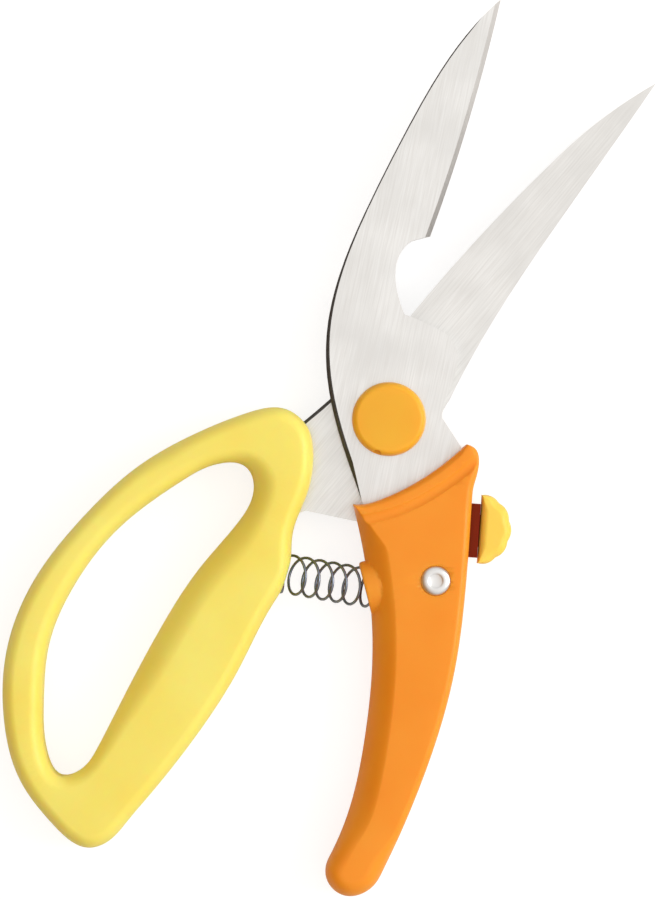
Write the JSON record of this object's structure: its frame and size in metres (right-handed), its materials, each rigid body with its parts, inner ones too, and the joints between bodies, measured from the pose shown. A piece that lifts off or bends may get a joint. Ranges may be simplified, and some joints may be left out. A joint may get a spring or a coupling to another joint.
{
  "type": "poultry shears",
  "caption": "Spring-opened poultry shears with a straight grip, a closed loop grip, curved blades with a bone notch, and a sliding thumb lock.",
  "frame": {"origin": "on the pivot axis, at the flat back of the back pivot cap, in the plane that the shears rest on", "axes": "+Y runs along the straight grip's half to the blade tips, +X is to the right seen from the front, +Z points to the front along the pivot axis"},
  "size_m": [0.1495, 0.251, 0.0199],
  "materials": {
    "blade_steel": "stainless steel, ground lengthwise",
    "fastener_steel": "stainless steel, plain",
    "spring_steel": "drawn spring wire and strip",
    "rivet_aluminium": "bright aluminium",
    "slip_nylon": "natural nylon",
    "cap_plastic": "amber moulded plastic, satin gloss",
    "straight_grip_plastic": "orange moulded plastic, fine satin texture",
    "loop_grip_plastic": "yellow moulded plastic, satin",
    "lock_carrier_plastic": "dark red-brown moulded plastic",
    "thumb_pad_plastic": "yellow moulded plastic, satin"
  },
  "bodies": {
    "straight_half": {"front_blade": "blade_steel", "pivot_bolt": "fastener_steel", "pivot_nut": "fastener_steel", "pivot_disc_spring": "fastener_steel", "blade_slip_washer": "slip_nylon", "front_pivot_cap": "cap_plastic", "back_pivot_cap": "cap_plastic", "straight_grip_front_shell": "straight_grip_plastic", "straight_grip_rear_shell": "straight_grip_plastic", "grip_screws": "fastener_steel", "lock_detent_leaf": "spring_steel", "lock_rivet": "rivet_aluminium", "lock_rivet_washer": "rivet_aluminium", "return_spring": "spring_steel"},
    "loop_half": {"rear_blade": "blade_steel", "loop_grip": "loop_grip_plastic"},
    "lock": {"lock_plate": "fastener_steel", "lock_carrier": "lock_carrier_plastic", "lock_carrier_pins": "fastener_steel", "lock_thumb_pad": "thumb_pad_plastic"}
  },
  "joints": [
    {"name": "blade_pivot", "type": "hinge", "parent": "straight_half", "child": "loop_half", "pos_m": [0, 0, 0.0095], "axis": [0, 0, 1], "range_deg": [0, 24], "stiffness_Nm_per_rad": 2.9, "springref_deg": -9.17, "deforming": ["return_spring"]},
    {"name": "lock_slide", "type": "slide", "parent": "straight_half", "child": "lock", "axis": [-0.1045, 0.9945, 0], "range_m": [0, 0.0045], "deforming": ["lock_detent_leaf"]}
  ]
}
